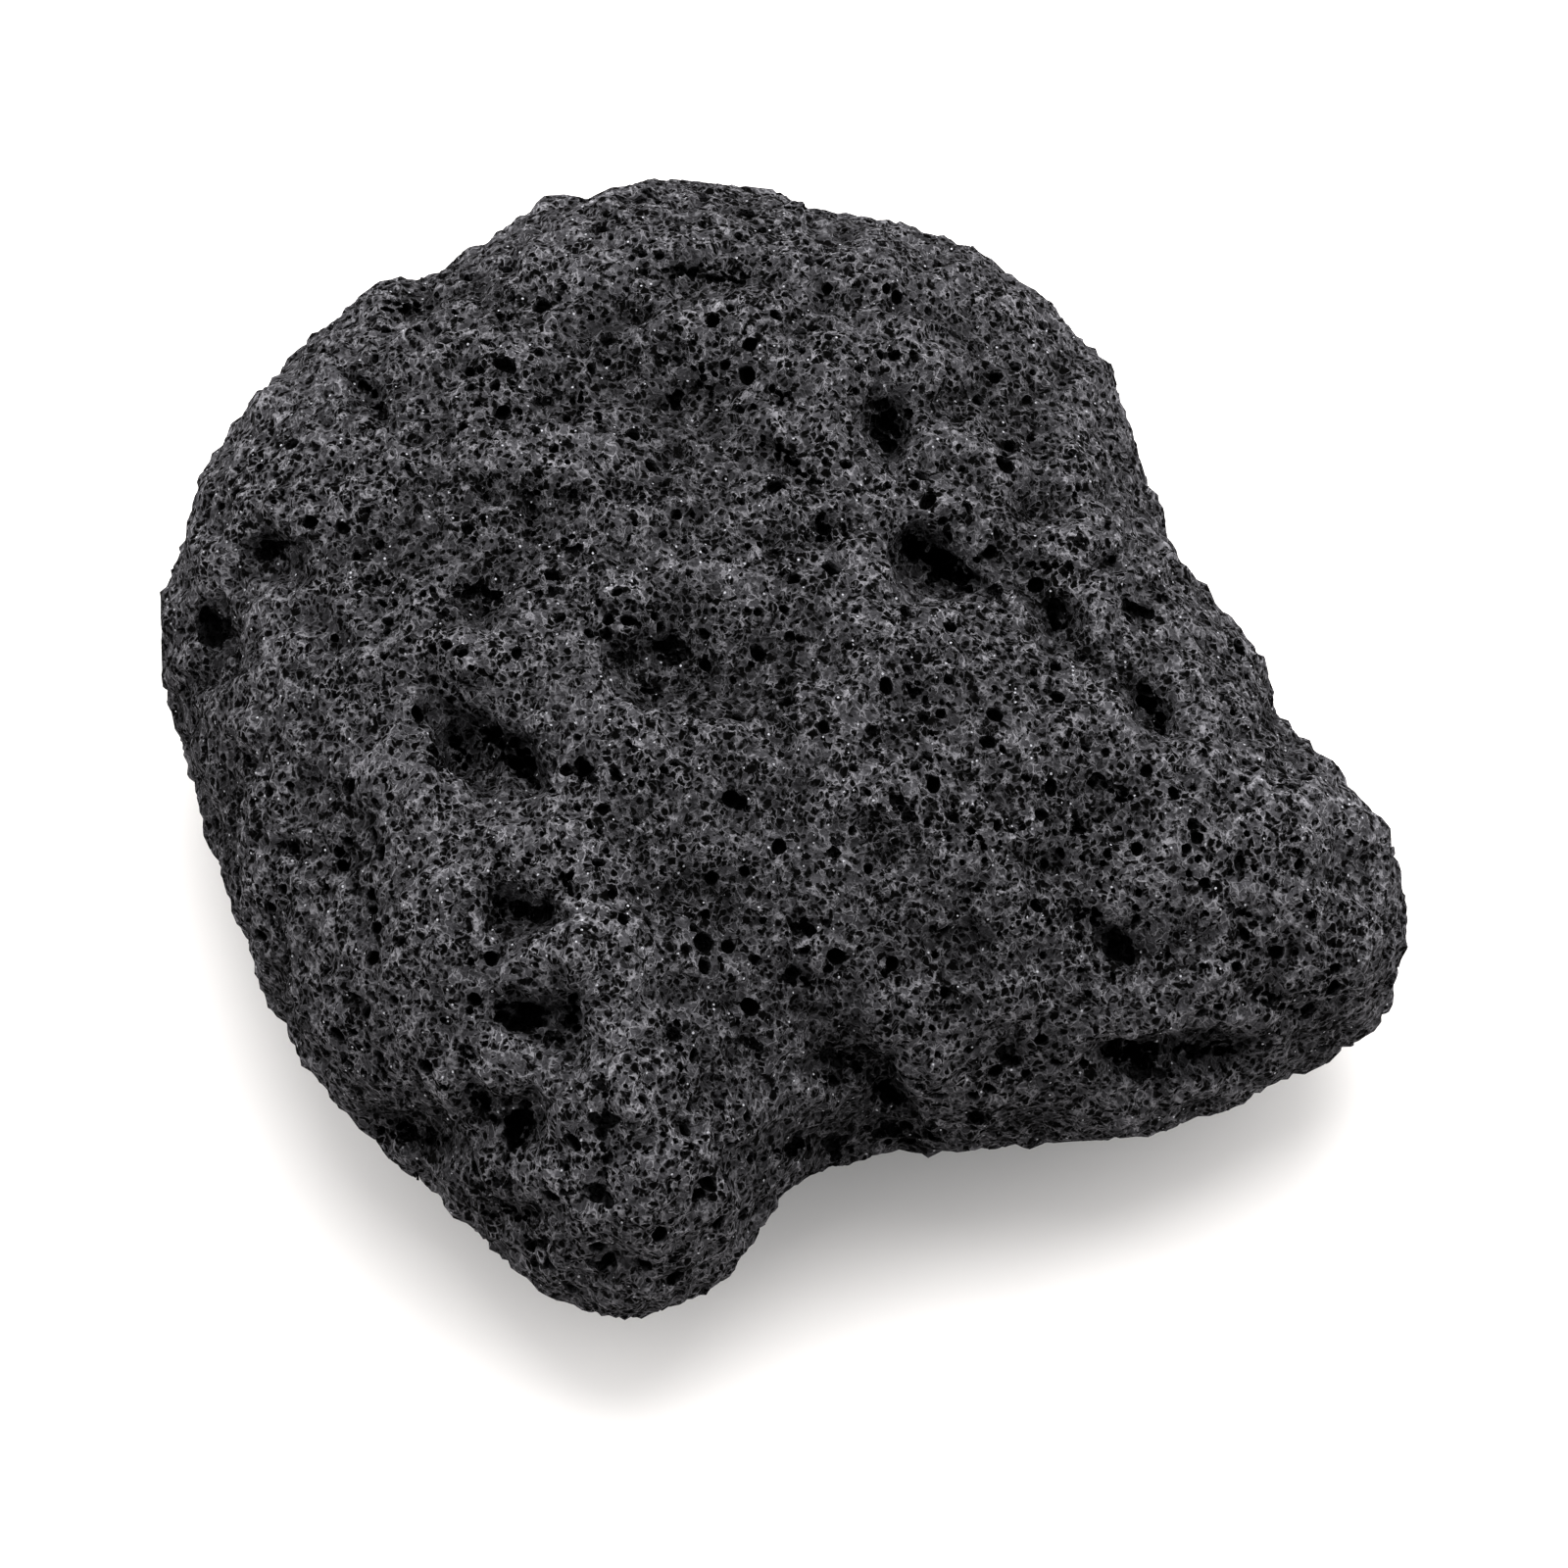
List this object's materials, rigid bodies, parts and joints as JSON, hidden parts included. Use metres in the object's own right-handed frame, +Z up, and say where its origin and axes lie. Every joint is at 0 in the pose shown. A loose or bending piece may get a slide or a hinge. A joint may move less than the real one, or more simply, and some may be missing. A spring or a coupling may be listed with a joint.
{
  "type": "lava rock",
  "caption": "Loose rounded lump of dark vesicular basalt, slab-like with two blunt lobes at the front, pitted all over, worn flat enough underneath to lie still.",
  "frame": {"origin": "middle of the bounding box, at the height of the patch that the rock rests on", "axes": "+Z up, +X to the rock's right as its show face is seen, +Y to its back"},
  "size_m": [0.1093, 0.1138, 0.0462],
  "materials": {
    "basalt": "matte charcoal stone, rough and open-pored, with fine bright specks"
  },
  "bodies": {
    "root": {"lava_rock": "basalt"}
  },
  "joints": []
}
